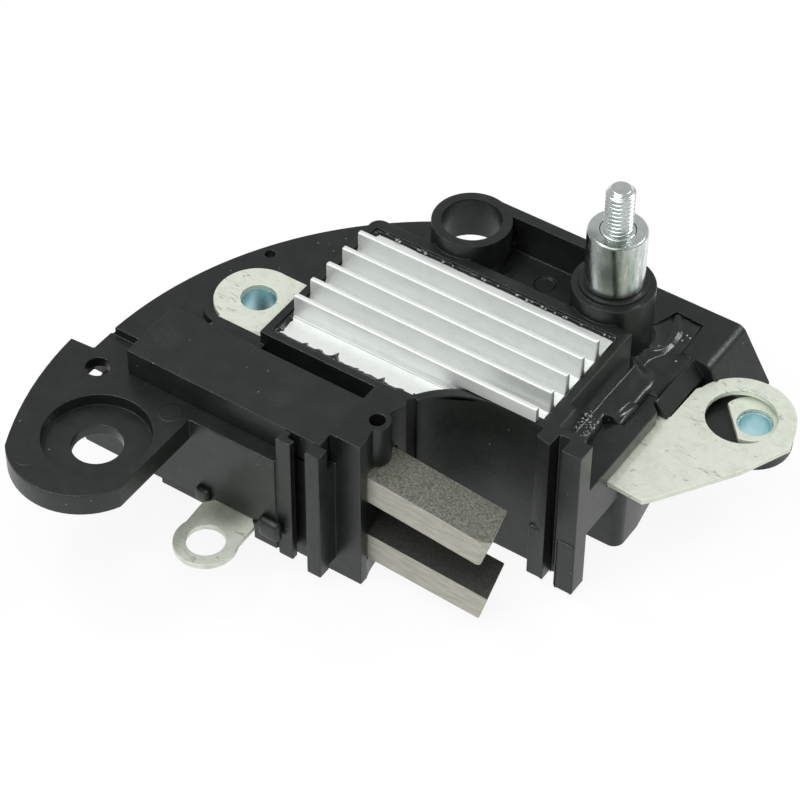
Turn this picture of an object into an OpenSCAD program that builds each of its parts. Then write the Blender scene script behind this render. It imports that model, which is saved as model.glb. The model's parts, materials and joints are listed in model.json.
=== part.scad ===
// Voltage regulator with brush holder, for the rear of an alternator.
// Origin on the axis of the slip rings, at the height of the ear's top face.
// X runs along the brushes, Y from the ear side to the stud side, Z up along the rotor axis.

/* [Slip ring bay] */
// Radius of the bay round the slip rings
bay_r = 13.6; // [13:0.1:14.4]
// Thickness of the bay wall at its straight part
bay_wall = 1.6; // [1.2:0.1:1.9]
// Height of the bay rim and the brush block
rim_z = 6; // [5.8:0.1:7]
// Depth of the bay wall below the datum
bay_depth = 26; // [24:0.5:28]
// Height where the two mould halves meet, below the datum
parting_depth = 14.2; // [12:0.1:16]

/* [Brushes] */
// Width of a brush
brush_w = 8; // [7:0.1:8.4]
// Height of a brush
brush_h = 5.7; // [5:0.1:6]
// Length of a brush
brush_l = 30; // [27:0.5:32]
// How far a brush stands out of its guide
brush_reach = 22.4; // [20:0.1:24]
// Distance between the two brushes
brush_pitch = 13.2; // [12.8:0.1:13.4]
// Depth of the upper brush's centre below the datum
brush_depth = 5.35; // [5.2:0.05:5.6]
// Side play of a brush in its guide
guide_clear = 0.25; // [0.15:0.05:0.35]
// Droop of the upper brush in degrees
upper_tilt = 5.5; // [4:0.5:6]
// Droop of the lower brush in degrees
lower_tilt = 3; // [1:0.5:3.5]
// Wire thickness of a brush spring
spring_wire = 0.7; // [0.5:0.05:0.8]
// Turns of a brush spring
spring_turns = 9; // [7:1:9]
// Mean radius of a brush spring
spring_r = 2.1; // [1.8:0.05:2.2]
// Radius of a shunt lead
lead_r = 0.65; // [0.4:0.05:0.8]

/* [Brush block] */
// Distance of the block's outer face from the slip ring axis
face_x = 12.8; // [12.6:0.1:13]
// Length of the block along the brushes
block_l = 5.85; // [5.5:0.05:6.2]
// Front face of the block
block_front_y = -6.2; // [-6.6:0.1:-5.8]
// Back face of the block
block_back_y = 6.5; // [6.2:0.1:6.9]
// Radius of the pin hole that holds the brushes back
pin_hole_r = 1.28; // [1:0.02:1.5]
// Radius of the pillar round the pin hole
pillar_r = 2.3; // [2.1:0.05:2.4]

/* [Ear] */
// Thickness of the ear
ear_t = 4.3; // [3.6:0.1:5]
// Radius of the ear's screw hole
ear_hole_r = 4.15; // [3.2:0.05:4.6]
// Screw hole position along X
ear_hole_x = -52.05; // [-54:0.05:-51]
// Screw hole position along Y
ear_hole_y = -22.2; // [-23.5:0.1:-21]
// Radius of the counterbore
counterbore_r = 8.8; // [8:0.1:9.4]
// Depth of the counterbore
counterbore_depth = 2.2; // [1.4:0.1:2.8]
// Radius of the ear's round end
ear_round_r = 12.35; // [11.8:0.05:13]
// Radius of the small locating hole
peg_hole_r = 2; // [1.5:0.1:2.4]

/* [Base plate] */
// Radius of the plate's outer edge
plate_r = 65.5; // [64.5:0.1:66.5]
// Height of the plate's top face
plate_z = 1.5; // [1.3:0.1:2]
// Thickness of the plate
plate_t = 3.5; // [3:0.1:4.5]

/* [Brush cover] */
// Left end of the brush cover
cover_left_x = -56.4; // [-57.4:0.1:-56]
// Front edge of the brush cover
cover_front_y = -8.45; // [-8.9:0.05:-8]
// Width of the brush cover
cover_w = 12.45; // [11.8:0.05:12.8]
// Height of the cover above the datum
cover_h = 5; // [4.4:0.1:5.6]
// Wall thickness of the cover
cover_wall = 1.6; // [1.2:0.1:2]

/* [Front wall and ribs] */
// Front face of the brush housing
front_y = -11.5; // [-12:0.1:-11.1]
// Depth of the front wall below the datum
front_depth = 17.4; // [17.2:0.1:18.4]
// Front of the two ribs
rib_front_y = -11; // [-11.4:0.1:-10.6]

/* [Heat sink] */
// Left end of the heat sink
sink_left_x = -39.3; // [-39.8:0.1:-38.5]
// Right end of the heat sink
sink_right_x = 6.6; // [6:0.1:6.8]
// Front edge of the heat sink
sink_front_y = 8.5; // [8.2:0.1:9]
// Back edge of the heat sink
sink_back_y = 37.3; // [36.5:0.1:37.8]
// Height of the base plate's top face
sink_z = 4.7; // [4.4:0.1:5]
// Thickness of the base plate
sink_t = 2.5; // [2:0.1:2.9]
// Height of a fin
fin_h = 4.2; // [3:0.1:5.5]
// Thickness of a fin at its top
fin_top_t = 1; // [0.8:0.05:1.2]
// Thickness of a fin at its foot
fin_foot_t = 1.5; // [1.2:0.05:2]
// Number of fins
fin_count = 5; // [4:1:5]
// Distance between fins
fin_pitch = 4.53; // [4.2:0.01:4.8]
// Front fin's distance from the heat sink's front edge
fin_first = 5.5; // [5.3:0.1:6]

/* [Heat sink frame] */
// Height of the frame round the heat sink
frame_z = 5.4; // [5.2:0.1:5.8]
// Width of the frame's walls
frame_wall = 1.5; // [1.2:0.1:1.6]
// Width of the sealed gap round the heat sink
seal_gap = 0.35; // [0.25:0.05:0.5]
// Width of the frame's back wall
frame_back_wall = 2.2; // [1.6:0.1:2.6]
// Depth of the electronics cavity below the heat sink
cavity_depth = 3.4; // [3.2:0.1:4]

/* [Boss and stud] */
// Radius of the bolt boss
boss_r = 6.8; // [6.6:0.05:7.3]
// Radius of the boss's bore
boss_bore_r = 5; // [4.2:0.05:5.4]
// Bolt boss position along X
boss_x = -25.95; // [-27:0.05:-25]
// Height of the boss and collar
boss_z = 8.2; // [7:0.1:9.5]
// Line of the boss and stud along Y
boss_y = 45.6; // [45.3:0.1:46.5]
// Radius of the stud's collar
collar_r = 7; // [6.6:0.05:7.3]
// Stud position along X
stud_x = 1.3; // [1.1:0.05:1.5]
// Radius of the stud's thread
stud_r = 2.4; // [2:0.05:2.8]
// Height of the stud's tip
stud_top_z = 28.5; // [26:0.1:32]
// Radius of the spacer
spacer_r = 4.97; // [4.4:0.05:5.4]
// Length of the spacer
spacer_l = 11; // [9:0.1:13]

/* [Right body] */
// Height of the deck beside the potting pocket
deck_z = -4.1; // [-4.6:0.1:-3.9]
// Right face of the column and the deck
right_x = 16.5; // [16.2:0.1:16.8]
// Back edge of the right body
right_back_y = 60.6; // [59:0.1:61.5]

/* [Terminals] */
// Thickness of the sheet that all terminals are cut from
sheet_t = 1; // [0.8:0.05:1.1]
// Height of the left ring terminal
left_term_z = 2.5; // [2.4:0.05:2.6]
// Radius of the left terminal's hole
left_hole_r = 3; // [2.4:0.05:3.4]
// Left terminal's hole position along X
left_hole_x = -47.7; // [-48.5:0.1:-47]
// Left terminal's hole position along Y
left_hole_y = 15.4; // [14.8:0.1:16]
// Depth of the small ring terminal
small_term_depth = 16; // [15:0.1:16.3]
// Radius of the small terminal's hole
small_hole_r = 3.2; // [2.4:0.05:3.4]
// Radius of the small terminal's ring
small_ring_r = 5.3; // [4.8:0.05:5.6]
// Small terminal's hole position along Y
small_hole_y = -19.3; // [-21:0.1:-18]
// Depth of the output terminal
out_term_depth = 7; // [6.9:0.1:7.2]
// Radius of the output terminal's eye
out_hole_r = 5.93; // [5:0.05:6.4]
// Radius of the output terminal's ring
out_ring_r = 9; // [8.6:0.05:9.4]
// Output eye position along X
out_hole_x = 27; // [26.5:0.1:27.5]
// Output eye position along Y
out_hole_y = 44.5; // [44:0.1:45]
// Radius of the sense lug's hole
lug_hole_r = 3; // [2.4:0.05:3.3]
// Sense lug's hole position along X
lug_hole_x = 28.8; // [28:0.1:29.2]
// Sense lug's hole position along Y
lug_hole_y = 46; // [45.6:0.1:46.6]
// Gap between the output terminal and the sense lug
lug_gap = 0.5; // [0.3:0.1:0.8]

/* [Hidden] */
$fn = 96;

// Overshoot of a cut past the face it opens
cut = 1;
// Gap between an inserted piece and the plastic round it
insert_gap = 0.05;
// Gap between the end of a tilted lead and the strip it is welded to
weld_gap = 0.07;

// Brush guides
block_left_x = -face_x - block_l;
brush_back = brush_l - brush_reach;
terminal_room_l = 5.5;
terminal_room_wall = 2;
room_left_x = cover_left_x + 0.6;
room_right_x = room_left_x + terminal_room_l;
chamber_l = -face_x - terminal_room_wall - room_right_x;
spring_room = chamber_l - brush_back;
tip_skew = 13;
tip_lean = 12;

// Base plate and brush cover
plate_centre = [1.9, -6.1];
plate_foot_z = plate_z - plate_t;
riser_y = -2.65;
cover_right_x = block_left_x - 0.2;
cover_back_y = cover_front_y + cover_w;
cover_gap = 0.3;
ear_slot_x = -42;
front_left_x = -64.2;
front_wall_t = 1.5;
block_start_x = -62.6;
peg_x = -61.25;
peg_y = -10.1;
peg_land = 2;
rib_1_x = -25.5;
rib_1_w = 2.8;
rib_2_x = -20;
rib_2_w = 2.65;
rib_1_foot = -21.5;
rib_2_foot = -22.6;
block_foot = -25.8;
front_foot_z = -20.2;
channel_foot = -22.2;

// Heat sink frame
frame_left_x = sink_left_x - seal_gap - frame_wall;
frame_right_x = sink_right_x + seal_gap + frame_wall;
frame_front_y = sink_front_y - seal_gap - frame_wall;
frame_back_y = sink_back_y + seal_gap + frame_back_wall;
frame_corner_r = 2;
sink_foot_z = sink_z - sink_t;
cavity_z = sink_foot_z - cavity_depth;
cavity_ledge = 2.5;
floor_t = 2;
bay_back_y = bay_r + bay_wall;
rim_shift = 0.75;

// Back pocket, boss and collar
pocket_floor_z = 1.2;
rib_w = 2.2;
rib_back_y = boss_y + boss_r - 0.25;
rib_front_edge_y = rib_back_y - rib_w;
boss_foot_z = -0.7;
step_r = 5.8;
step_h = 0.8;
shank_r = stud_r + 0.5;
shank_recess = 0.4;
stud_hole_r = shank_r + 0.08;
spacer_top_z = boss_z + step_h + spacer_l;
head_h = 3;
head_r = 4.6;

// Right body
right_foot_z = -parting_depth;
output_z = -out_term_depth;
output_foot_z = output_z - sheet_t;
lug_z = output_foot_z - lug_gap;
lug_foot_z = lug_z - sheet_t;
lug_boss_r = 6.5;
lug_boss_h = 3.5;
lug_r = 5.07;
lug_tail_depth = 1;
lug_tail_w = 0.8;
lug_tail_y = lug_hole_y + lug_hole_r + 0.9;
sense_bush_drop = 0.65;
sense_bush_tail = 1.7;
sense_bore_r = 2.6;
left_bush_r = 4.4;
left_bore_r = 2.95;
left_bush_foot_z = plate_foot_z - 2.4;
wedge_top_x = 18.2;
wedge_foot_x = 24.2;
notch_y = 38;
column_front_y = 10.8;
column_w = 3.6;
rib_a_x = 8;
rib_a_w = 2.9;
rib_a_front_y = 11.1;
leg_foot = -25.4;
leg_left_x = 10;
leg_front_y = 23.6;
resin_edge_z = -4.6;

// Strips inside the housing
strip_t = 0.8;
small_term_z = -small_term_depth;
small_foot_z = small_term_z - sheet_t;
small_term_left_x = -37.7;
small_term_right_x = -30.15;
small_hole_x = -33.7;
upper_strip_x = room_left_x + 1.4;
upper_strip_z = 1.3;
lower_strip_x = room_left_x + 0.4;

// Left ring terminal and the ledge that holds its neck
left_ring_r = 7.1;
left_neck_l = 2.9;
left_neck_r = 5.3;
left_neck_end_y = 2;
ledge_z = 2.9;
ledge_back_y = 7.95;

// Electronics
board_l = 28;
board_w = 17;
board_t = 0.8;
board_side_gap = 0.8;
board_back_gap = 0.3;
board_x = sink_left_x + cavity_ledge + board_side_gap + board_l / 2;
board_y = sink_back_y - cavity_ledge - board_back_gap - board_w / 2;
chip_size = 5;
chip_t = 0.5;

// Brush number 0 is the upper one and number 1 the lower one
function brush_z(n) = -brush_depth - n * brush_pitch;
function brush_tilt(n) = n == 0 ? upper_tilt : lower_tilt;

// Face of the strip that the shunt lead is welded to
function strip_face_x(n) = (n == 0 ? upper_strip_x : lower_strip_x) + strip_t + weld_gap;

// Ring of a tube whose path runs along X
function tube_ring(p, r, sides) = [for (k = [0:sides - 1])
    let (a = 360 * k / sides) [p[0], p[1] + r * cos(a), p[2] + r * sin(a)]];

// Ring of a spring wire at angle a of the coil, x along its axis
function coil_ring(x, a, coil_r, wire_r, sides) = [for (k = [0:sides - 1])
    let (b = 360 * k / sides, d = coil_r + wire_r * cos(b)) [x + wire_r * sin(b), d * cos(a), d * sin(a)]];

// Closed skin over rings that have the same number of points
module skin(rings, sides) {
    last = len(rings) - 1;
    points = [for (ring = rings) for (p = ring) p];
    walls = [for (i = [0:last - 1]) for (k = [0:sides - 1])
        let (m = (k + 1) % sides)
        [i * sides + k, i * sides + m, (i + 1) * sides + m, (i + 1) * sides + k]];
    first_cap = [[for (k = [sides - 1:-1:0]) k]];
    last_cap = [[for (k = [0:sides - 1]) last * sides + k]];
    polyhedron(points = points, faces = concat(walls, first_cap, last_cap), convexity = 10);
}

module box(low, high) {
    translate(low) cube(high - low);
}

module plate(z0, z1) {
    translate([0, 0, z0]) linear_extrude(height = z1 - z0) children();
}

module post(x, y, r, z0, z1) {
    translate([x, y, z0]) cylinder(r = r, h = z1 - z0);
}

// Profile drawn in X and Z, extruded from y0 to y1
module along_y(y0, y1) {
    translate([0, y1, 0]) rotate([90, 0, 0]) linear_extrude(height = y1 - y0) children();
}

// Profile drawn in Y and Z, extruded from x0 to x1
module along_x(x0, x1) {
    translate([x0, 0, 0]) rotate([90, 0, 90]) linear_extrude(height = x1 - x0) children();
}

module rect(x0, y0, x1, y1) {
    translate([x0, y0]) square([x1 - x0, y1 - y0]);
}

// Frame of one brush: origin where its axis leaves the block, X out along it
module at_brush(n) {
    translate([-face_x, 0, brush_z(n)]) rotate([0, brush_tilt(n), 0]) children();
}

// Plan outlines of the housing

module ear_outline() {
    intersection() {
        translate([-9, -5.2]) circle(r = 59.9, $fn = 180);
        union() {
            polygon([[-70, -7.4], [-64.45, -7], [-64.35, riser_y], [ear_slot_x, riser_y],
                [ear_slot_x, ear_hole_y], [ear_hole_x - 11.5, ear_hole_y - 7.5], [-72, ear_hole_y - 10]]);
            rect(-64, riser_y - cut, -45, riser_y + 2);
            intersection() {
                translate([ear_hole_x - 1.1, ear_hole_y - 1.8]) circle(r = ear_round_r);
                rect(-80, -60, ear_slot_x, 0);
            }
        }
    }
}

module plate_outline() {
    difference() {
        intersection() {
            translate(plate_centre) circle(r = plate_r, $fn = 180);
            polygon([[-70, riser_y], [cover_left_x - cover_gap, riser_y],
                [cover_left_x - cover_gap, cover_back_y + cover_gap],
                [-face_x, cover_back_y + cover_gap], [-face_x, bay_r],
                [frame_right_x, bay_r], [frame_right_x, frame_back_y], [stud_x, frame_back_y],
                [stud_x, rib_back_y], [-70, rib_back_y]]);
        }
        bay_void();
    }
}

// Room of the slip rings, open to the front and the right
module bay_void() {
    circle(r = bay_r, $fn = 144);
    rect(0, -80, 80, bay_r);
}

module bay_wall_outline() {
    difference() {
        union() {
            intersection() {
                translate([-0.2, rim_shift]) circle(r = bay_r + bay_wall - rim_shift, $fn = 144);
                rect(-bay_r, block_back_y, 0.1, bay_back_y);
            }
            rect(0, bay_r - cut, right_x - 1.6, bay_back_y);
        }
        bay_void();
    }
}

module block_outline() {
    difference() {
        union() {
            rect(block_left_x, block_front_y, -face_x, block_back_y);
            rect(-face_x - cut, 0, -face_x + 1.6, block_back_y + 0.6);
            translate([-13.7, 7.2]) circle(r = 1.75);
            rect(block_left_x + 3, block_back_y - cut, -face_x, 7.7);
        }
        circle(r = bay_r, $fn = 144);
    }
}

// Potting pocket, seen from above
module pocket_outline() {
    difference() {
        polygon([[frame_right_x, 20.5], [10.9, 20.5], [10.9, 24.3], [10.6, 28.2], [11.5, 29.1],
            [13.4, 29.6], [13.4, notch_y], [15.05, notch_y], [15.05, 49], [12.9, 49.3],
            [12.6, 56.8], [7.4, 57.2], [5.6, 52], [frame_right_x, 46]]);
        translate([stud_x, boss_y]) circle(r = collar_r + 0.01);
    }
}

module output_outline() {
    difference() {
        union() {
            translate([out_hole_x, out_hole_y]) circle(r = out_ring_r);
            polygon([[12, 20.3], [23.1, 19.6], [24.5, 21.3], [out_hole_x + 5.8, out_hole_y - 10.7],
                [out_hole_x + out_ring_r + 0.9, out_hole_y - 1.7], [out_hole_x + out_ring_r, out_hole_y + 1],
                [out_hole_x, out_hole_y + out_ring_r],
                [out_hole_x - 4.5, out_hole_y + out_ring_r - 1.2], [17.7, 46], [17.5, notch_y], [12, notch_y]]);
        }
        translate([out_hole_x, out_hole_y]) circle(r = out_hole_r);
    }
}

// Round lug with one side cut straight
module lug_outline() {
    translate([lug_hole_x, lug_hole_y]) difference() {
        intersection() {
            translate([-0.85, 0.4]) circle(r = lug_r);
            polygon([[-6.7, 2.4], [-5.7, 1.26], [-0.63, -4.53], [0.3, -5.6], [7, -5.6], [7, 7], [-6.7, 7]]);
        }
        circle(r = lug_hole_r);
    }
}

// Bent tail that runs from the lug into the housing, inside the support
module lug_tail(gap) {
    top = lug_foot_z - lug_tail_depth;
    front = lug_tail_y - lug_tail_w - gap;
    box([lug_hole_x - 2 - gap, front, top - sheet_t - gap], [lug_hole_x + 2 + gap, lug_tail_y + gap, lug_foot_z]);
    box([16, front, top - sheet_t - gap], [lug_hole_x, lug_tail_y + gap, top + gap]);
}

module left_term_outline() {
    difference() {
        intersection() {
            union() {
                translate([left_hole_x - 0.25, left_hole_y - 0.2]) circle(r = left_ring_r);
                rect(left_hole_x - left_neck_l, left_neck_end_y, left_hole_x + left_neck_r, left_hole_y);
                rect(left_hole_x - 0.25, ledge_back_y, frame_left_x, left_hole_y - 0.25 + left_ring_r);
            }
            rect(-80, 0, frame_left_x - insert_gap, 60);
        }
        translate([left_hole_x, left_hole_y]) circle(r = left_hole_r);
    }
}

module small_term_neck() {
    polygon([[small_hole_x - small_ring_r + 0.4, small_hole_y - 1], [small_term_left_x - 1.3, front_y - 2.5],
        [small_term_left_x - 1.3, front_y - 1.3], [small_term_left_x, front_y],
        [small_term_left_x, front_y + 3.5], [small_term_right_x, front_y + 3.5],
        [small_term_right_x, front_y], [small_term_right_x + 1.1, front_y - 1],
        [small_hole_x + small_ring_r - 0.4, small_hole_y - 1]]);
}

// Ledge beside the brush cover, over the neck of the left ring terminal
module ledge_outline() {
    polygon([[frame_left_x + cut, cover_back_y], [left_hole_x - 2.6, cover_back_y], [left_hole_x - 2.6, 6.4],
        [left_hole_x - 4, 6.7], [left_hole_x - 5.3, 7.4], [left_hole_x - 5.8, ledge_back_y],
        [frame_left_x + cut, ledge_back_y]]);
}

// Solids of the housing

module ear() {
    plate(-ear_t, 0) ear_outline();
}

module guide_block() {
    box([front_left_x, front_y, -front_depth], [block_start_x + cut, front_y + front_wall_t, 0]);
    box([block_start_x, front_y, -front_depth], [rib_1_x, cover_back_y + 1.2, 0]);
    box([-30, front_y, front_foot_z], [rib_1_x, front_y + 3, 0]);
    box([rib_1_x - cut, cover_front_y, channel_foot], [block_left_x + cut, cover_back_y + 1.2, 0]);
    box([-53, block_front_y, block_foot], [block_left_x + cut, block_back_y, -front_depth + cut]);
    box([cover_left_x - cover_wall + 0.6, block_front_y + 0.6, -22.5], [-48, cover_back_y, -front_depth + cut]);
}

module ribs() {
    box([rib_1_x, rib_front_y, rib_1_foot], [rib_1_x + rib_1_w, rib_front_y + 1.3, cover_h]);
    box([rib_1_x, rib_front_y, rib_1_foot], [rib_1_x + 1.4, cover_front_y - insert_gap, cover_h]);
    box([rib_1_x, cover_front_y - 0.5, rib_1_foot], [rib_1_x + 1.4, cover_front_y + 2, -0.01]);
    box([rib_2_x, rib_front_y, rib_2_foot], [rib_2_x + rib_2_w, cover_front_y - insert_gap, cover_h]);
    box([rib_2_x, rib_front_y, rib_2_foot], [block_left_x, cover_front_y + 2, -0.01]);
}

module block() {
    plate(block_foot, rim_z) block_outline();
    post(-face_x - 1.35, 0.43, pillar_r, -brush_depth + brush_h / 2 + 0.3, rim_z);
}

module bay() {
    plate(-bay_depth, rim_z) bay_wall_outline();
    plate(leg_foot, rim_z) polygon([[rib_a_x, bay_r + 0.5], [rib_a_x, rib_a_front_y + 0.3],
        [rib_a_x + rib_a_w, rib_a_front_y - 0.4], [rib_a_x + rib_a_w, bay_r + 0.5]]);
    plate(leg_foot, rim_z) rect(right_x - column_w, column_front_y, right_x, bay_back_y - 0.8);
    plate(leg_foot, -parting_depth) rect(rib_a_x - 0.25, rib_a_front_y - 0.2, rib_a_x + rib_a_w, bay_r + 0.5);
    plate(leg_foot, -parting_depth) rect(right_x - column_w + 0.4, column_front_y - 0.15,
        right_x - 0.2, bay_back_y - 0.8);
}

module heat_sink_frame() {
    plate(cavity_z - floor_t, frame_z) union() {
        rect(frame_left_x, frame_front_y, frame_right_x, frame_back_y - frame_corner_r);
        rect(frame_left_x + frame_corner_r, frame_front_y, frame_right_x, frame_back_y);
        translate([frame_left_x + frame_corner_r, frame_back_y - frame_corner_r]) circle(r = frame_corner_r);
    }
    box([frame_right_x - cut, bay_back_y - cut, cavity_z - floor_t], [frame_right_x + 1.3, 20.5, frame_z]);
}

module stud_side() {
    post(boss_x, boss_y, boss_r, plate_foot_z, boss_z);
    post(stud_x, boss_y, collar_r, plate_foot_z - 6, boss_z);
    post(stud_x, boss_y, step_r, boss_z - cut, boss_z + step_h);
    box([boss_x, rib_front_edge_y, plate_foot_z], [stud_x, rib_back_y, boss_z]);
}

module right_body() {
    plate(right_foot_z, deck_z) polygon([[frame_right_x - 2, bay_r], [right_x, bay_r],
        [right_x, 35.2], [13.6, notch_y], [frame_right_x - 2, notch_y]]);
    along_y(notch_y - cut, 50) polygon([[0, right_foot_z], [17.5, right_foot_z], [17.5, output_z],
        [15.2, deck_z], [0, deck_z]]);
    along_y(49, right_back_y) polygon([[-6, right_foot_z], [wedge_foot_x, right_foot_z],
        [wedge_top_x, deck_z], [-6, deck_z]]);
}

module lug_support() {
    difference() {
        union() {
            post(lug_hole_x, lug_hole_y, lug_boss_r, lug_foot_z - lug_boss_h, lug_foot_z);
            box([16, lug_hole_y - lug_boss_r, lug_foot_z - lug_boss_h],
                [lug_hole_x, lug_tail_y + 0.5, lug_foot_z]);
        }
        post(lug_hole_x, lug_hole_y, lug_hole_r, lug_foot_z - lug_boss_h - cut, lug_foot_z + cut);
    }
}

// Rear leg below the output terminal
module rear_leg() {
    plate(-bay_depth, right_foot_z + cut) union() {
        translate([right_x - 1, leg_front_y + 2]) circle(r = 2);
        polygon([[leg_left_x, leg_front_y], [right_x - 1, leg_front_y], [right_x + 1, leg_front_y + 2],
            [right_x + 1, leg_front_y + 6], [right_x, leg_front_y + 12.5],
            [right_x - 2, leg_front_y + 16], [leg_left_x, leg_front_y + 16]]);
    }
}

// Cuts into the housing

module brush_guide(n) {
    side = brush_w / 2 + guide_clear;
    half = brush_h / 2 + guide_clear;
    at_brush(n) {
        box([-chamber_l, -side, -half], [cut * 6, side, half]);
        translate([-chamber_l - terminal_room_wall - 0.5, 0, 0]) rotate([0, 90, 0])
            cylinder(r = lead_r + 0.45, h = terminal_room_wall + 2, $fn = 32);
    }
}

module terminal_room() {
    box([room_left_x, -4.2, -20.6], [room_right_x, 2.6, cut]);
}

module lower_strip_slot() {
    lower_strip_shape(insert_gap);
}

module heat_sink_pocket() {
    difference() {
        box([sink_left_x - seal_gap, sink_front_y - seal_gap, sink_foot_z],
            [sink_right_x + seal_gap, sink_back_y + seal_gap, frame_z + cut]);
        plate(-bay_depth, frame_z + 2 * cut) bay_keep_out(0.01);
    }
    difference() {
        box([sink_left_x + cavity_ledge, sink_front_y + cavity_ledge, cavity_z],
            [sink_right_x - cavity_ledge, sink_back_y - cavity_ledge, sink_foot_z + cut]);
        plate(-bay_depth, frame_z + 2 * cut) bay_keep_out(2);
    }
}

// Bay wall grown by a gap, for what lies behind it
module bay_keep_out(gap) {
    translate([-0.2, rim_shift]) circle(r = bay_r + bay_wall - rim_shift + gap, $fn = 144);
    rect(-0.2, -40, 60, bay_back_y + gap);
}

module stud_cuts() {
    post(stud_x, boss_y, stud_hole_r, -40, 40);
    post(stud_x, boss_y, head_r + 0.4, right_foot_z - cut, plate_foot_z - 2);
    box([stud_x - 4, 36, plate_foot_z - 3.2], [stud_x + 4, boss_y, plate_foot_z - 2]);
}

module boss_cuts() {
    post(boss_x, boss_y, boss_bore_r, -10, 20);
    post(boss_x, boss_y, boss_r - 0.9, -10, 0.2);
    intersection() {
        post(boss_x, boss_y, boss_r + 0.6, -10, boss_foot_z);
        box([boss_x - 20, frame_back_y, -20], [boss_x + 20, boss_y + 20, 0]);
    }
    box([boss_x, frame_back_y, pocket_floor_z], [stud_x, rib_front_edge_y, plate_z + cut]);
    post(-11.5, boss_y, 1.8, pocket_floor_z - 0.3, pocket_floor_z + cut);
    post(-19.9, boss_y - 0.6, 1.8, pocket_floor_z - 0.3, pocket_floor_z + cut);
}

module ear_cuts() {
    post(ear_hole_x, ear_hole_y, ear_hole_r, -20, cut);
    post(ear_hole_x, ear_hole_y, counterbore_r, -counterbore_depth, cut);
    post(peg_x, peg_y, peg_hole_r, -peg_land - cut, cut);
    box([front_left_x, front_y + front_wall_t, -ear_t - 0.01], [peg_x + 0.25, peg_y + 2.4, -peg_land]);
    post(-53, 25.86, 0.85, plate_foot_z - cut, plate_z + cut);
    post(left_hole_x, left_hole_y, left_bush_r + 0.2, plate_foot_z - cut, plate_z + cut);
}

module block_cuts() {
    post(-face_x - 1.35, 0.43, pin_hole_r, -bay_depth - cut, rim_z + cut);
    translate([-11.85, 6.65, block_foot - cut]) rotate([0, 0, 45])
        translate([-0.8, -0.8, 0]) cube([1.6, 1.6, rim_z - block_foot + 2 * cut]);
    box([rib_a_x + rib_a_w, bay_r - cut, -bay_depth - cut], [right_x - column_w, bay_r + 0.1, rim_z + cut]);
}

module terminal_cuts() {
    plate(output_foot_z - insert_gap, output_z + insert_gap) output_tail();
    lug_tail(insert_gap);
    plate(small_foot_z - insert_gap, small_term_z + insert_gap)
        rect(small_term_left_x - insert_gap, front_y - cut, small_term_right_x + insert_gap,
            front_y + 3.5 + insert_gap);
    plate(left_term_z - sheet_t - insert_gap, left_term_z + insert_gap)
        rect(left_hole_x - left_neck_l - insert_gap, 0, left_hole_x + left_neck_r + insert_gap, ledge_back_y + cut);
}

// Room that the output terminal takes in the plastic
module output_tail() {
    rect(12 - insert_gap, 19.8, 18, notch_y + 8 + insert_gap);
    translate([out_hole_x, out_hole_y]) circle(r = out_ring_r + insert_gap);
}

module housing() {
    color([0.09, 0.1, 0.1]) difference() {
        union() {
            difference() {
                union() {
                    ear();
                    plate(plate_foot_z, plate_z) plate_outline();
                    plate(plate_foot_z, ledge_z) ledge_outline();
                    guide_block();
                    heat_sink_frame();
                    stud_side();
                    right_body();
                }
                plate(-60, rim_z + 20) bay_void();
            }
            ribs();
            block();
            bay();
            rear_leg();
            lug_support();
        }
        brush_guide(0);
        brush_guide(1);
        terminal_room();
        lower_strip_slot();
        heat_sink_pocket();
        plate(output_foot_z, deck_z + cut) pocket_outline();
        stud_cuts();
        boss_cuts();
        ear_cuts();
        block_cuts();
        terminal_cuts();
    }
}

module brush_cover() {
    color([0.12, 0.12, 0.12]) difference() {
        box([cover_left_x, cover_front_y, 0], [cover_right_x, cover_back_y, cover_h]);
        box([cover_left_x + cover_wall, cover_front_y + cover_wall, -cut],
            [cover_right_x - cover_wall, cover_back_y - cover_wall, cover_h - cover_wall]);
        box([left_hole_x - left_neck_l - insert_gap, cover_back_y - 2 * cover_wall, left_term_z - sheet_t - insert_gap],
            [left_hole_x + left_neck_r + insert_gap, cover_back_y + cut, left_term_z + insert_gap]);
    }
}

// Heat sink

module fin_profile() {
    polygon([[-fin_foot_t / 2, 0], [fin_foot_t / 2, 0], [fin_foot_t / 2, 0.5],
        [fin_top_t / 2, 1], [fin_top_t / 2, fin_h], [-fin_top_t / 2, fin_h],
        [-fin_top_t / 2, 1], [-fin_foot_t / 2, 0.5]]);
}

module heat_sink() {
    color([0.8, 0.82, 0.82]) difference() {
        union() {
            box([sink_left_x, sink_front_y, sink_foot_z], [sink_right_x, sink_back_y, sink_z]);
            for (k = [0:fin_count - 1]) {
                along_x(sink_left_x, sink_right_x)
                    translate([sink_front_y + fin_first + k * fin_pitch, sink_z]) fin_profile();
            }
        }
        plate(-bay_depth, rim_z + 0.1) bay_keep_out(seal_gap);
    }
}

module sealant_bead() {
    color([0.03, 0.03, 0.03]) difference() {
        box([sink_left_x - seal_gap, sink_front_y - seal_gap, sink_foot_z],
            [sink_right_x + seal_gap, sink_back_y + seal_gap, sink_z + 0.2]);
        box([sink_left_x, sink_front_y, sink_foot_z - cut], [sink_right_x, sink_back_y, frame_z + cut]);
        plate(-bay_depth, frame_z + 2 * cut) bay_keep_out(0.01);
    }
}

module potting_resin() {
    color([0.01, 0.01, 0.01]) difference() {
        intersection() {
            plate(output_foot_z, plate_z) pocket_outline();
            union() {
                box([0, 20, output_foot_z], [30, 60, resin_edge_z]);
                along_y(20, frame_back_y) polygon([[0, output_foot_z], [13, output_foot_z],
                    [13, resin_edge_z], [11, -3.4], [9.6, -1.2], [0, -0.6]]);
            }
        }
        plate(output_foot_z - cut, output_z) output_tail();
    }
}

// Electronics below the heat sink

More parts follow.
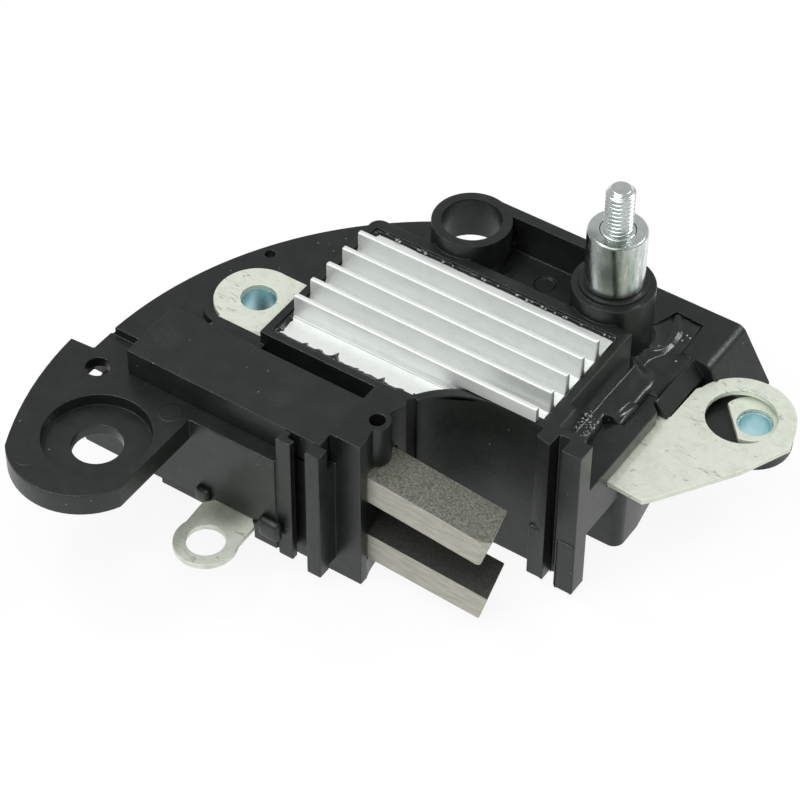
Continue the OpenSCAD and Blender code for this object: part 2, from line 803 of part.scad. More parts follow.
module hybrid_board() {
    color([0.85, 0.83, 0.78]) box([board_x - board_l / 2, board_y - board_w / 2, sink_foot_z - board_t],
        [board_x + board_l / 2, board_y + board_w / 2, sink_foot_z]);
}

module regulator_chip() {
    z = sink_foot_z - board_t;
    color([0.25, 0.27, 0.3]) box([board_x - 8, board_y - 3, z - chip_t],
        [board_x - 8 + chip_size, board_y - 3 + chip_size, z]);
}

module freewheel_diode() {
    z = sink_foot_z - board_t;
    color([0.3, 0.3, 0.3]) box([board_x + 4, board_y - 2, z - chip_t],
        [board_x + 4 + chip_size - 1.5, board_y - 2 + chip_size - 1.5, z]);
}

module module_leads() {
    z = sink_foot_z - board_t;
    color([0.75, 0.72, 0.66]) for (k = [0:3]) {
        x = board_x - board_l / 2 + 4 + k * 6;
        box([x, board_y - board_w / 2 - 2, z - 0.4], [x + 1.6, board_y - board_w / 2 + 2, z]);
        box([x, board_y - board_w / 2 - 2, cavity_z], [x + 1.6, board_y - board_w / 2 - 1.4, z]);
    }
}

// Brushes and what drives them

module brush(n) {
    at_brush(n) difference() {
        box([-brush_back, -brush_w / 2, -brush_h / 2], [brush_reach, brush_w / 2, brush_h / 2]);
        translate([brush_reach, -brush_w / 2, brush_h / 2]) rotate([0, 0, tip_skew]) rotate([0, tip_lean, 0])
            box([0, -20, -20], [20, 20, 20]);
        if (n == 0) translate([brush_reach - 1.9, -brush_w / 2, 0]) rotate([0, 0, 30]) box([0, -4, -10], [8, 0, 10]);
        translate([-brush_back - cut, 0, 0]) rotate([0, 90, 0]) cylinder(r = lead_r + 0.12, h = 3 + cut, $fn = 24);
    }
}

module brush_spring(n) {
    turn_step = 24;
    steps = spring_turns * 360 / turn_step;
    span = spring_room - spring_wire - 2 * insert_gap;
    at_brush(n) translate([-chamber_l + spring_wire / 2 + insert_gap, 0, 0])
        skin([for (i = [0:steps]) coil_ring(span * i / steps, i * turn_step, spring_r, spring_wire / 2, 6)], 6);
}

// The lead rises from the brush, sags a little inside the spring and ends in the terminal room
module shunt_lead(n) {
    count = 24;
    x0 = -brush_back + 3;
    x1 = (strip_face_x(n) + face_x) / cos(brush_tilt(n));
    at_brush(n) skin([for (i = [0:count])
        let (t = i / count) tube_ring([x1 + (x0 - x1) * t, 0, 0.17 * (1 - cos(720 * t))], lead_r, 8)], 8);
}

module upper_brush() {
    color([0.33, 0.33, 0.31]) brush(0);
}

module lower_brush() {
    color([0.33, 0.33, 0.31]) brush(1);
}

module upper_brush_spring() {
    color([0.7, 0.7, 0.68]) brush_spring(0);
}

module lower_brush_spring() {
    color([0.7, 0.7, 0.68]) brush_spring(1);
}

module upper_shunt_lead() {
    color([0.72, 0.45, 0.3]) shunt_lead(0);
}

module lower_shunt_lead() {
    color([0.72, 0.45, 0.3]) shunt_lead(1);
}

module upper_brush_strip() {
    color([0.78, 0.66, 0.4]) {
        box([upper_strip_x, -2, brush_z(0) + 1], [upper_strip_x + strip_t, left_neck_end_y, upper_strip_z + strip_t]);
        box([upper_strip_x, -2, upper_strip_z], [left_hole_x + 4, left_neck_end_y, upper_strip_z + strip_t]);
    }
}

// Flat strip from the small terminal's tail to the lower lead
module lower_strip_shape(gap) {
    low = small_term_z - gap;
    high = small_term_z + strip_t + gap;
    box([lower_strip_x - gap, front_y + 1.6 - gap, low], [small_term_right_x + gap, front_y + 3.5 + gap, high]);
    box([lower_strip_x - gap, front_y + 1.6 - gap, brush_z(1) + 0.7 - gap],
        [lower_strip_x + strip_t + gap, 1.5 + gap, high]);
}

module lower_brush_strip() {
    color([0.78, 0.66, 0.4]) lower_strip_shape(0);
}

// Stud and terminals

module stud() {
    color([0.78, 0.8, 0.82]) translate([stud_x, boss_y, 0]) rotate_extrude($fn = 72) polygon([
        [0, plate_foot_z - 3 - head_h], [head_r, plate_foot_z - 3 - head_h], [head_r, plate_foot_z - 3],
        [shank_r, plate_foot_z - 3], [shank_r, spacer_top_z - shank_recess], [stud_r, spacer_top_z - shank_recess],
        [stud_r, stud_top_z - 0.8], [stud_r - 0.8, stud_top_z], [0, stud_top_z]]);
}

module spacer() {
    z = boss_z + step_h;
    color([0.75, 0.78, 0.8]) translate([stud_x, boss_y, 0]) rotate_extrude($fn = 96) polygon([
        [stud_hole_r, z], [spacer_r - 0.2, z], [spacer_r, z + 0.2], [spacer_r, spacer_top_z - 0.3],
        [spacer_r - 0.3, spacer_top_z], [stud_hole_r, spacer_top_z]]);
}

module stud_strip() {
    z = plate_foot_z - 3;
    color([0.78, 0.66, 0.4]) plate(z, z + 1) difference() {
        union() {
            translate([stud_x, boss_y]) circle(r = head_r);
            rect(stud_x - 3.8, 36.2, stud_x + 3.8, boss_y);
        }
        translate([stud_x, boss_y]) circle(r = stud_hole_r);
    }
}

module left_ring_terminal() {
    color([0.8, 0.78, 0.7]) plate(left_term_z - sheet_t, left_term_z) left_term_outline();
}

module left_bush() {
    color([0.55, 0.68, 0.8]) difference() {
        post(left_hole_x, left_hole_y, left_bush_r, left_bush_foot_z, left_term_z - sheet_t);
        post(left_hole_x, left_hole_y, left_bore_r, left_bush_foot_z - cut, left_term_z);
    }
}

module small_ring_terminal() {
    color([0.8, 0.78, 0.7]) difference() {
        union() {
            post(small_hole_x, small_hole_y, small_ring_r, small_foot_z, small_term_z);
            plate(small_foot_z, small_term_z) small_term_neck();
        }
        post(small_hole_x, small_hole_y, small_hole_r, small_foot_z - cut, small_term_z + cut);
    }
}

module output_terminal() {
    color([0.8, 0.79, 0.72]) plate(output_foot_z, output_z) output_outline();
}

module sense_lug() {
    color([0.8, 0.79, 0.72]) {
        plate(lug_foot_z, lug_z) lug_outline();
        lug_tail(0);
    }
}

module sense_bush() {
    color([0.55, 0.68, 0.8]) difference() {
        post(lug_hole_x, lug_hole_y, lug_hole_r - insert_gap, lug_foot_z - lug_boss_h - sense_bush_tail,
            lug_z - sense_bush_drop);
        post(lug_hole_x, lug_hole_y, sense_bore_r, -40, lug_z + cut);
    }
}

housing();
brush_cover();
heat_sink();
sealant_bead();
potting_resin();
hybrid_board();
regulator_chip();
freewheel_diode();
module_leads();
upper_brush();
lower_brush();
upper_brush_spring();
lower_brush_spring();
upper_shunt_lead();
lower_shunt_lead();
upper_brush_strip();
lower_brush_strip();
stud();
spacer();
stud_strip();
left_ring_terminal();
left_bush();
small_ring_terminal();
output_terminal();
sense_lug();
sense_bush();
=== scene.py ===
"""Looks of an alternator voltage regulator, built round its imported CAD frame.

Lengths are in millimetres and angles in degrees, except in the stage at the end, which is in
Blender's metres. A mesh point is multiplied by MM as it is made.
"""
import json
import math
import random

import bmesh
import bpy
from mathutils import Matrix, Vector, noise
from mathutils.bvhtree import BVHTree


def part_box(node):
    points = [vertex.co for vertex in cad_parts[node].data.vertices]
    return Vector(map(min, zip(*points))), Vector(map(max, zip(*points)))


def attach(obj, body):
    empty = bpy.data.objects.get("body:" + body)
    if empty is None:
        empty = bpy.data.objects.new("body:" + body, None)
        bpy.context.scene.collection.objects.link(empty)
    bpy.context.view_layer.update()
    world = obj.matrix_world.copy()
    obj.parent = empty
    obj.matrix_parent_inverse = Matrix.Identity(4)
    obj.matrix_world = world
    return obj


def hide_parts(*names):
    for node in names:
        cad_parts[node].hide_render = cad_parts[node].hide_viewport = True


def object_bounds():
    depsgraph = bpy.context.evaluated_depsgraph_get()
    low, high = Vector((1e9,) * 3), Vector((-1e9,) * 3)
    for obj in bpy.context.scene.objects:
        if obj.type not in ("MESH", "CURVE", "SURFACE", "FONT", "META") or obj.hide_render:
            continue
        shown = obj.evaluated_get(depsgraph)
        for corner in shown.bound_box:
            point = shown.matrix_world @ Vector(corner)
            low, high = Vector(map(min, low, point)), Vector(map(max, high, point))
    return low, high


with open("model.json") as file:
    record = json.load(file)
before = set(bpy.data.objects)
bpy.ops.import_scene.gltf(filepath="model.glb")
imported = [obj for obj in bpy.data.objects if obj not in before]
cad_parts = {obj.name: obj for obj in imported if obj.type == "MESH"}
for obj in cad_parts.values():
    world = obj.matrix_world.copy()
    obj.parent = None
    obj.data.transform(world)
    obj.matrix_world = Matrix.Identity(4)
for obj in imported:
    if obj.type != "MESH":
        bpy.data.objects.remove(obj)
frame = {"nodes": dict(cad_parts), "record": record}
CAD_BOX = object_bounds()
NODES = frame["nodes"]
MM = 0.001
SLOTS = {part["node"]: part["material_slot"] for part in frame["record"]["subparts"]}
BODY_OF = {
    name: body for body, names in frame["record"]["behaviour"]["bodies"].items() for name in names
}


def mm(*values):
    """A point given in millimetres, as a vector in metres."""
    return Vector(values) * MM


def low(node):
    """Lowest corner of a CAD node's box."""
    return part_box(node)[0] / MM


def high(node):
    """Highest corner of a CAD node's box."""
    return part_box(node)[1] / MM


# ---------------------------------------------------------------- materials

MM_PER_METRE = 1000.0
X, Y, Z = 0, 1, 2

# Depths of the bumps, in metres
GRAIN_DEPTH = 0.00006
FLOW_DEPTH = 0.0004
MARK_DEPTH = 0.0001
SCRATCH_DEPTH = 0.00004
CARBON_DEPTH = 0.00008

PLASTIC_TINT = (0.86, 1.0, 0.9)
PLASTIC_GLOSS_TINT = (0.9, 1.0, 0.94, 1.0)
CUT_END_COLOUR = (0.16, 0.19, 0.17, 1.0)
# Colour of the painted shade line at the fin's root
FIN_ROOT_SHADE_COLOUR = (0.12, 0.13, 0.12, 1.0)
# Colour of the dark spots: stains at the spacer's foot, and painted shadow on the small ring's stem
STAIN_AND_SHADOW_COLOUR = (0.1, 0.11, 0.08, 1.0)
# Heights between which the brushes' top faces are darkened: painted shadow of the upper brush on
# the lower one
PAINTED_SHADOW_START_Z, PAINTED_SHADOW_END_Z = -7.0, -11.0

# (x, y, radius) of the moulding marks on the housing and of the rubbed places on the cover
MOULD_MARKS = ((-58.2, -32.0, 1.95), (-45.3, -11.85, 1.9), (-42.4, 42.9, 1.2), (-46.4, 34.1, 0.6))
COVER_SCUFFS = ((-52.9, -2.2, 2.6), (-30.0, -3.5, 1.8))
# (x, y, radius, depth) of dark spots: painted shadow on the small ring's stem, and stains at the
# spacer's foot
STEM_PAINTED_SHADOW = ((-34.3, -12.4, 3.2, 0.75),)
SPACER_STAINS = ((3.1, 40.9, 2.0, 0.8), (-1.4, 41.4, 1.6, 0.45))
# (y, top z) of the painted shade line in the crease where the heat sink's first fin meets its foot
FIN_ROOT_PAINTED_SHADE = ((13.02, 5.2),)


def shaded(colour, level=1.0):
    """A colour times a level, with full alpha."""
    return tuple(channel * level for channel in colour) + (1.0,)


class Nodes:
    """Short hand for building a material's node tree."""

    def __init__(self, name):
        self.material = bpy.data.materials.new(name)
        self.material.use_nodes = True
        self.tree = self.material.node_tree
        self.tree.nodes.clear()
        self.output = self.add("ShaderNodeOutputMaterial")
        self.coords = None

    def add(self, kind, inputs=None, **settings):
        node = self.tree.nodes.new(kind)
        for key, value in settings.items():
            setattr(node, key, value)
        for key, value in (inputs or {}).items():
            self.set(node.inputs[key], value)
        return node

    def set(self, socket, value):
        if isinstance(value, bpy.types.NodeSocket):
            self.tree.links.new(value, socket)
        elif value is not None:
            socket.default_value = value

    def place(self):
        """Coordinates of the surface in the object's own frame."""
        if self.coords is None:
            geometry = self.add("ShaderNodeTexCoord")
            self.coords = self.add(
                "ShaderNodeVectorMath",
                {0: geometry.outputs["Object"], 1: (MM_PER_METRE,) * 3},
                operation="MULTIPLY",
            ).outputs[0]
        return self.coords

    def along(self, axis):
        """One coordinate of the surface in the object's own frame."""
        return self.add("ShaderNodeSeparateXYZ", {0: self.place()}).outputs[axis]

    def stretched(self, sx, sy, sz):
        return self.add(
            "ShaderNodeVectorMath", {0: self.place(), 1: (sx, sy, sz)}, operation="MULTIPLY"
        ).outputs[0]

    def noise(self, scale, detail=3.0, roughness=0.6, where=None):
        """Noise with features about 1 / scale wide."""
        node = self.add(
            "ShaderNodeTexNoise",
            {
                "Vector": where or self.place(),
                "Scale": scale,
                "Detail": detail,
                "Roughness": roughness,
            },
        )
        return node.outputs["Fac"]

    def math(self, operation, a, b=None):
        node = self.add("ShaderNodeMath", operation=operation)
        for index, value in enumerate((a, b)):
            if value is not None:
                self.set(node.inputs[index], value)
        return node.outputs[0]

    def times(self, a, b):
        return self.math("MULTIPLY", a, b)

    def band(self, value, start, end, low_value=0.0, high_value=1.0):
        """Smooth step of a value between start and end."""
        node = self.add(
            "ShaderNodeMapRange",
            {
                "Value": value,
                "From Min": start,
                "From Max": end,
                "To Min": low_value,
                "To Max": high_value,
            },
            interpolation_type="SMOOTHSTEP",
        )
        return node.outputs[0]

    def mix(self, factor, a, b):
        """Colour a where the factor is 0 and b where it is 1."""
        node = self.add("ShaderNodeMix", data_type="RGBA")
        self.set(node.inputs[0], factor)
        self.set(node.inputs[6], a)
        self.set(node.inputs[7], b)
        return node.outputs[2]

    def bump(self, height, strength, distance, normal=None):
        node = self.add(
            "ShaderNodeBump", {"Height": height, "Strength": strength, "Distance": distance}
        )
        if normal is not None:
            self.set(node.inputs["Normal"], normal)
        return node.outputs[0]

    def spot(self, x, y, radius, soft):
        """1 inside a circle of the XY plane and 0 outside it."""
        away = self.add(
            "ShaderNodeVectorMath",
            {0: self.stretched(1, 1, 0), 1: (x, y, 0)},
            operation="DISTANCE",
        ).outputs["Value"]
        return self.band(away, radius - soft, radius + soft, 1.0, 0.0)

    def specks(self, spacing, radius, share):
        """Scattered small specks: 1 inside them, on the given share of the cells."""
        cells = self.add(
            "ShaderNodeTexVoronoi",
            {"Vector": self.place(), "Scale": 1.0 / spacing, "Randomness": 1.0},
        )
        inside = self.band(cells.outputs["Distance"], radius * 0.6, radius, 1.0, 0.0)
        chance = self.add("ShaderNodeSeparateColor", {0: cells.outputs["Color"]}).outputs[0]
        return self.times(inside, self.math("LESS_THAN", chance, share))

    def hairlines(self, scale, width, where=None):
        """Thin wandering lines, where a noise passes its middle."""
        value = self.noise(scale, 2.0, 0.5, where)
        away = self.math("ABSOLUTE", self.math("SUBTRACT", value, 0.5))
        return self.band(away, width * 0.3, width, 1.0, 0.0)

    def facing(self, axis):
        """How far the surface faces along an axis of its own frame, from -1 to 1."""
        normal = self.add("ShaderNodeTexCoord").outputs["Normal"]
        return self.add("ShaderNodeSeparateXYZ", {0: normal}).outputs[axis]

    def surface(self, **sockets):
        """The finished material, with the shader's sockets set by name."""
        shader = self.add("ShaderNodeBsdfPrincipled")
        for key, value in sockets.items():
            self.set(shader.inputs[key.replace("_", " ")], value)
        self.tree.links.new(shader.outputs[0], self.output.inputs["Surface"])
        return self.material


def black_plastic(name, level, roughness, grain, marks=(), scuffs=(), waves=0.12):
    """Glass-filled black plastic: fine grain, faint flow marks, dust, pin marks and scuffs."""
    m = Nodes(name)
    flow = m.band(m.noise(0.25, 4.0), 0.35, 0.7)
    base = m.mix(flow, shaded(PLASTIC_TINT, level * 0.75), shaded(PLASTIC_TINT, level * 1.3))
    dust = m.specks(1.6, 0.11, 0.12)
    base = m.mix(m.times(dust, 0.7), base, shaded(PLASTIC_TINT, 0.2))
    rough = m.math("ADD", m.times(m.noise(1.6, 4.0), 0.14), roughness - 0.07)
    normal = m.bump(m.noise(5.5, 3.0, 0.7), grain, GRAIN_DEPTH)
    normal = m.bump(m.noise(0.5, 2.0), waves, FLOW_DEPTH, normal)
    if marks or scuffs:
        up = m.band(m.facing(Z), 0.8, 0.95)
    for x, y, radius in marks:
        disc = m.times(m.spot(x, y, radius, 0.12), up)
        base = m.mix(m.times(disc, 0.45), base, shaded(PLASTIC_TINT, level * 0.25))
        rough = m.math("ADD", rough, m.times(disc, 0.1))
        normal = m.bump(disc, 0.5, MARK_DEPTH, normal)
    for x, y, radius in scuffs:
        disc = m.times(m.spot(x, y, radius, 0.8), up)
        rubbed = m.times(disc, m.band(m.noise(2.4, 4.0, 0.7), 0.45, 0.62))
        base = m.mix(m.times(rubbed, 0.06), base, shaded(PLASTIC_TINT, 0.22))
        rough = m.math("ADD", rough, m.times(disc, 0.05))
    return m.surface(
        Base_Color=base, Roughness=rough, Specular_IOR_Level=0.5, IOR=1.5, Normal=normal,
        Specular_Tint=PLASTIC_GLOSS_TINT,
    )


def handled(m, base, colour, depth):
    """A sheet's blotches, long marks and pits over its base colour."""
    blotch = m.band(m.noise(1.1, 4.0, 0.7), 0.5, 0.68)
    base = m.mix(m.times(blotch, depth * 0.4), base, shaded(colour, 0.62))
    lengthwise = m.stretched(0.12, 0.5, 0.5)
    marks = m.times(
        m.hairlines(0.8, 0.012, lengthwise), m.band(m.noise(0.5, 2.0), 0.45, 0.6)
    )
    base = m.mix(m.times(marks, depth), base, shaded(colour, 0.35))
    pits = m.specks(0.9, 0.12, 0.2)
    return m.mix(m.times(pits, depth * 0.6), base, shaded(colour, 0.5))


def weathered(m, base, colour, depth):
    """Upright dark runs and flecks on the sides of a piece."""
    run = m.noise(1.1, 4.0, 0.75, m.stretched(1.0, 1.0, 0.14))
    fleck = m.band(m.noise(3.2, 3.0, 0.7), 0.5, 0.66)
    upright = m.band(m.math("ABSOLUTE", m.facing(Z)), 0.4, 0.8, depth, depth * 0.2)
    base = m.mix(m.times(m.band(run, 0.4, 0.62), upright), base, shaded(colour, 0.3))
    return m.mix(m.times(fleck, upright), base, shaded(colour, 0.5))


def satin_metal(
    name, colour, roughness, brush=(1.0, 1.0, 1.0), scratch=0.25, stain=0.12, metal=1.0,
    lines_depth=0.0, runs=0.0, cut_ends=0.0, spots=(), painted_root_shade=(),
):
    """Metal with fine scratches, cloudy stains, hairlines, upright runs and dull cut ends, dark
    spots of stain and of painted shadow, and painted shade lines at fin roots.
    """
    m = Nodes(name)
    cloud = m.band(m.noise(0.35, 5.0, 0.65), 0.4, 0.75)
    base = m.mix(cloud, shaded(colour), shaded(colour, 1.0 - stain))
    if lines_depth:
        base = handled(m, base, colour, lines_depth)
    if runs:
        base = weathered(m, base, colour, runs)
    if cut_ends:
        ends = m.times(m.band(m.facing(X), 0.7, 0.95), cut_ends)
        base = m.mix(ends, base, CUT_END_COLOUR)
    # Painted shade: a dark line along the crease where a fin meets its foot
    for y, top_z in painted_root_shade:
        away = m.math("ABSOLUTE", m.math("SUBTRACT", m.along(Y), y))
        line = m.times(
            m.band(away, 0.06, 0.14, 0.65, 0.0), m.math("LESS_THAN", m.along(Z), top_z)
        )
        base = m.mix(line, base, FIN_ROOT_SHADE_COLOUR)
    # Dark spots: real stains, and painted shadow where a piece lies in shade
    for x, y, radius, depth in spots:
        stain_and_shadow = m.times(m.spot(x, y, radius, radius * 0.7), depth)
        base = m.mix(stain_and_shadow, base, STAIN_AND_SHADOW_COLOUR)
    lines = m.noise(2.2, 4.0, 0.75, m.stretched(*brush))
    rough = m.math("ADD", m.times(lines, 0.22), roughness - 0.11)
    rough = m.math("ADD", rough, m.times(cloud, 0.08))
    bumped = m.bump(lines, scratch, SCRATCH_DEPTH)
    return m.surface(Base_Color=base, Metallic=metal, Roughness=rough, Normal=bumped)


def carbon(name):
    """Copper-graphite brush: darker top faces, lighter sides, bright grains, and painted shadow on
    the top faces low down.
    """
    m = Nodes(name)
    normal = m.add("ShaderNodeNewGeometry").outputs["Normal"]
    up = m.add("ShaderNodeSeparateXYZ", {0: normal}).outputs[Z]
    top = m.band(up, 0.4, 0.9)
    grain = m.noise(2.6, 5.0, 0.8)
    streak = m.noise(1.2, 4.0, 0.7, m.stretched(0.25, 1.0, 1.6))
    side = m.mix(
        m.band(streak, 0.3, 0.7), shaded((1.0, 0.98, 0.82), 0.33), shaded((1.0, 0.99, 0.86), 0.46)
    )
    face = m.mix(
        m.band(grain, 0.35, 0.68), shaded((1.0, 1.03, 0.86), 0.065), shaded((1.0, 1.01, 0.84), 0.23)
    )
    # Painted shadow: top faces low down, where the lower brush lies under the upper one, are
    # darkened
    painted_shadow = m.band(m.along(Z), PAINTED_SHADOW_END_Z, PAINTED_SHADOW_START_Z, 0.75, 0.0)
    face = m.mix(painted_shadow, face, shaded((1.0, 1.03, 0.9), 0.02))
    base = m.mix(top, side, face)
    bumped = m.bump(grain, 0.35, CARBON_DEPTH)
    return m.surface(Base_Color=base, Metallic=0.25, Roughness=0.52, Normal=bumped)


MATERIALS = {
    "black_plastic": black_plastic("black_plastic", 0.010, 0.34, 0.35, marks=MOULD_MARKS),
    "cover_plastic": black_plastic("cover_plastic", 0.010, 0.4, 0.5, scuffs=COVER_SCUFFS),
    "aluminium": satin_metal(
        "aluminium", (0.83, 0.855, 0.835), 0.5, brush=(0.05, 1.0, 1.0), scratch=0.3,
        stain=0.05, metal=0.7, lines_depth=0.1, cut_ends=0.75, painted_root_shade=FIN_ROOT_PAINTED_SHADE,
    ),
    "tinned_sheet": satin_metal(
        "tinned_sheet", (0.76, 0.81, 0.7), 0.5, brush=(0.4, 1.0, 1.0), scratch=0.25,
        # The small ring's stem gets a painted shadow
        stain=0.14, metal=0.6, lines_depth=0.55, spots=STEM_PAINTED_SHADOW,
    ),
    "zinc_steel": satin_metal(
        "zinc_steel", (0.8, 0.85, 0.83), 0.2, brush=(1.0, 1.0, 0.25), scratch=0.4,
        stain=0.15, runs=0.5, spots=SPACER_STAINS,
    ),
    "blue_zinc": satin_metal(
        "blue_zinc", (0.5, 0.76, 0.8), 0.4, brush=(1.0, 1.0, 0.4), scratch=0.3
    ),
    "strip_brass": satin_metal("strip_brass", (0.78, 0.62, 0.34), 0.35, (0.2, 1.0, 1.0), stain=0.1),
    "spring_steel": satin_metal(
        "spring_steel", (0.66, 0.66, 0.63), 0.3, scratch=0.2, stain=0.1
    ),
    "copper_braid": satin_metal(
        "copper_braid", (0.86, 0.48, 0.3), 0.4, brush=(1.0, 4.0, 4.0), scratch=0.9, stain=0.25
    ),
    "carbon": carbon("carbon"),
    "sealant": black_plastic("sealant", 0.008, 0.22, 0.3),
    "resin": black_plastic("resin", 0.014, 0.24, 0.01, waves=0.02),
    "ceramic": black_plastic("ceramic", 0.55, 0.5, 0.2),
    "silicon": black_plastic("silicon", 0.12, 0.25, 0.1),
}

# Pale grey of the resin's bubbles and of the sealant's crumbs: painted highlights in place of their
# glints
PAINTED_HIGHLIGHT_SKIN = satin_metal(
    "painted_highlight_skin", (0.34, 0.36, 0.34), 0.25, scratch=0.4, stain=0.7, metal=0.0
)


def dress(obj, material):
    obj.data.materials.clear()
    obj.data.materials.append(material)


# ---------------------------------------------------------------- mesh helpers

SHARP_ANGLE = 28
SMOOTH_ANGLE = 32
WELD_GAP = 2e-6  # metres
FLAT_ANGLE = 0.6
WIDE_SEGMENTS = 6
SPIKE_LIMIT = 0.3


def new_object(name, mesh, body, slot, material=None):
    obj = bpy.data.objects.new(name, mesh)
    bpy.context.scene.collection.objects.link(obj)
    dress(obj, material or MATERIALS[slot])
    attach(obj, body)
    return obj


def shade(mesh, angle=SMOOTH_ANGLE):
    mesh.shade_smooth()
    mesh.set_sharp_from_angle(angle=math.radians(angle))


def shaded_mesh(bm, name, angle=SMOOTH_ANGLE):
    """Mesh of a finished bmesh, which is freed."""
    mesh = bpy.data.meshes.new(name)
    bm.to_mesh(mesh)
    bm.free()
    shade(mesh, angle)
    return mesh


def even_normals(mesh, angle=SMOOTH_ANGLE):
    """Corner normals led by the large flat faces, so that bevels don't shade them."""
    mesh.calc_loop_triangles()
    limit = math.cos(math.radians(angle))
    faces_at = [[] for _ in mesh.vertices]
    for face in mesh.polygons:
        for vertex in face.vertices:
            faces_at[vertex].append(face)
    normals = [None] * len(mesh.loops)
    for face in mesh.polygons:
        for loop in face.loop_indices:
            total = Vector()
            for other in faces_at[mesh.loops[loop].vertex_index]:
                if other.normal.dot(face.normal) > limit:
                    total += other.normal * other.area
            normals[loop] = total.normalized() if total.length > 0 else face.normal
    mesh.normals_split_custom_set(normals)


def sharp_edges(bm):
    return [
        edge
        for edge in bm.edges
        if len(edge.link_faces) == 2 and edge.calc_face_angle() > math.radians(SHARP_ANGLE)
    ]


def between(edge, low_corner, high_corner):
    """Whether both ends of an edge lie in a box."""
    return all(
        low_corner[i] <= vert.co[i] / MM <= high_corner[i] for vert in edge.verts for i in range(3)
    )


def bevel(bm, edges, radius, segments, **settings):
    bmesh.ops.bevel(
        bm, geom=edges, offset=radius * MM, offset_type="OFFSET", segments=segments, profile=0.5,
        affect="EDGES", **settings,
    )


def softened(node, name, width, segments=2, wide=()):
    """The node's own form with its sharp edges really rounded.

    wide holds boxes, as (low corner, high corner, radius), whose sharp edges get that larger
    radius first. A vertex that the bevel throws off the CAD surface is pulled back on to it.
    """
    bm = bmesh.new()
    bm.from_mesh(NODES[node].data)
    surface = BVHTree.FromBMesh(bm)
    bmesh.ops.remove_doubles(bm, verts=bm.verts, dist=WELD_GAP)
    bmesh.ops.dissolve_limit(
        bm, angle_limit=math.radians(FLAT_ANGLE), verts=bm.verts, edges=bm.edges
    )
    for low_corner, high_corner, radius in wide:
        chosen = [edge for edge in sharp_edges(bm) if between(edge, low_corner, high_corner)]
        bevel(bm, chosen, radius, WIDE_SEGMENTS, clamp_overlap=True)
    bevel(
        bm, sharp_edges(bm), width, segments,
        clamp_overlap=False, miter_outer="ARC", harden_normals=False,
    )
    bmesh.ops.triangulate(bm, faces=bm.faces)
    corner, far_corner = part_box(node)
    for vert in bm.verts:
        nearest, _, _, away = surface.find_nearest(vert.co)
        if away > SPIKE_LIMIT * MM:
            vert.co = nearest
        vert.co = [min(max(vert.co[i], corner[i]), far_corner[i]) for i in range(3)]
    mesh = shaded_mesh(bm, name)
    even_normals(mesh)
    obj = new_object(name, mesh, BODY_OF[node], SLOTS[node])
    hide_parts(node)
    return obj


def sheet_mesh(name, rows, closed=False):
    """Mesh over rows of points; closed joins the ends of each row."""
    count = len(rows[0])
    points = [tuple(c * MM for c in point) for row in rows for point in row]
    faces = []
    for i in range(len(rows) - 1):
        for k in range(count if closed else count - 1):
            n = (k + 1) % count
            faces.append((i * count + k, i * count + n, (i + 1) * count + n, (i + 1) * count + k))
    mesh = bpy.data.meshes.new(name)
    mesh.from_pydata(points, [], faces)
    return mesh


def wander(x, y=0.0, z=0.0):
    """Smooth noise from about -1 to 1."""
    return noise.noise(Vector((x, y, z))) * 1.6


def smooth(t):
    """Smooth step from 0 to 1."""
    t = min(1.0, max(0.0, t))
    return t * t * (3.0 - 2.0 * t)


def distance_to_path(x, y, path):
    best = math.inf
    for (ax, ay), (bx, by) in zip(path, path[1:]):
        dx, dy = bx - ax, by - ay
        t = max(0.0, min(1.0, ((x - ax) * dx + (y - ay) * dy) / (dx * dx + dy * dy)))
        best = min(best, math.hypot(x - ax - t * dx, y - ay - t * dy))
    return best


def droplets(name, places, body, slot, material):
    """Small flattened drops at places given as (x, y, z, radius)."""
    squash = 0.6
    bm = bmesh.new()
    for x, y, z, r in places:
        size = Matrix.Diagonal((r * MM, r * MM, r * MM * squash, 1.0))
        bmesh.ops.create_icosphere(
            bm, subdivisions=2, radius=1.0, matrix=Matrix.Translation(mm(x, y, z)) @ size
        )
    for vert in bm.verts:
        x, y, z = (c / MM * 3 for c in vert.co)
        vert.co += vert.normal * MM * 0.02 * wander(x, y, z)
    return new_object(name, shaded_mesh(bm, name, 60), body, slot, material)


# ---------------------------------------------------------------- stud


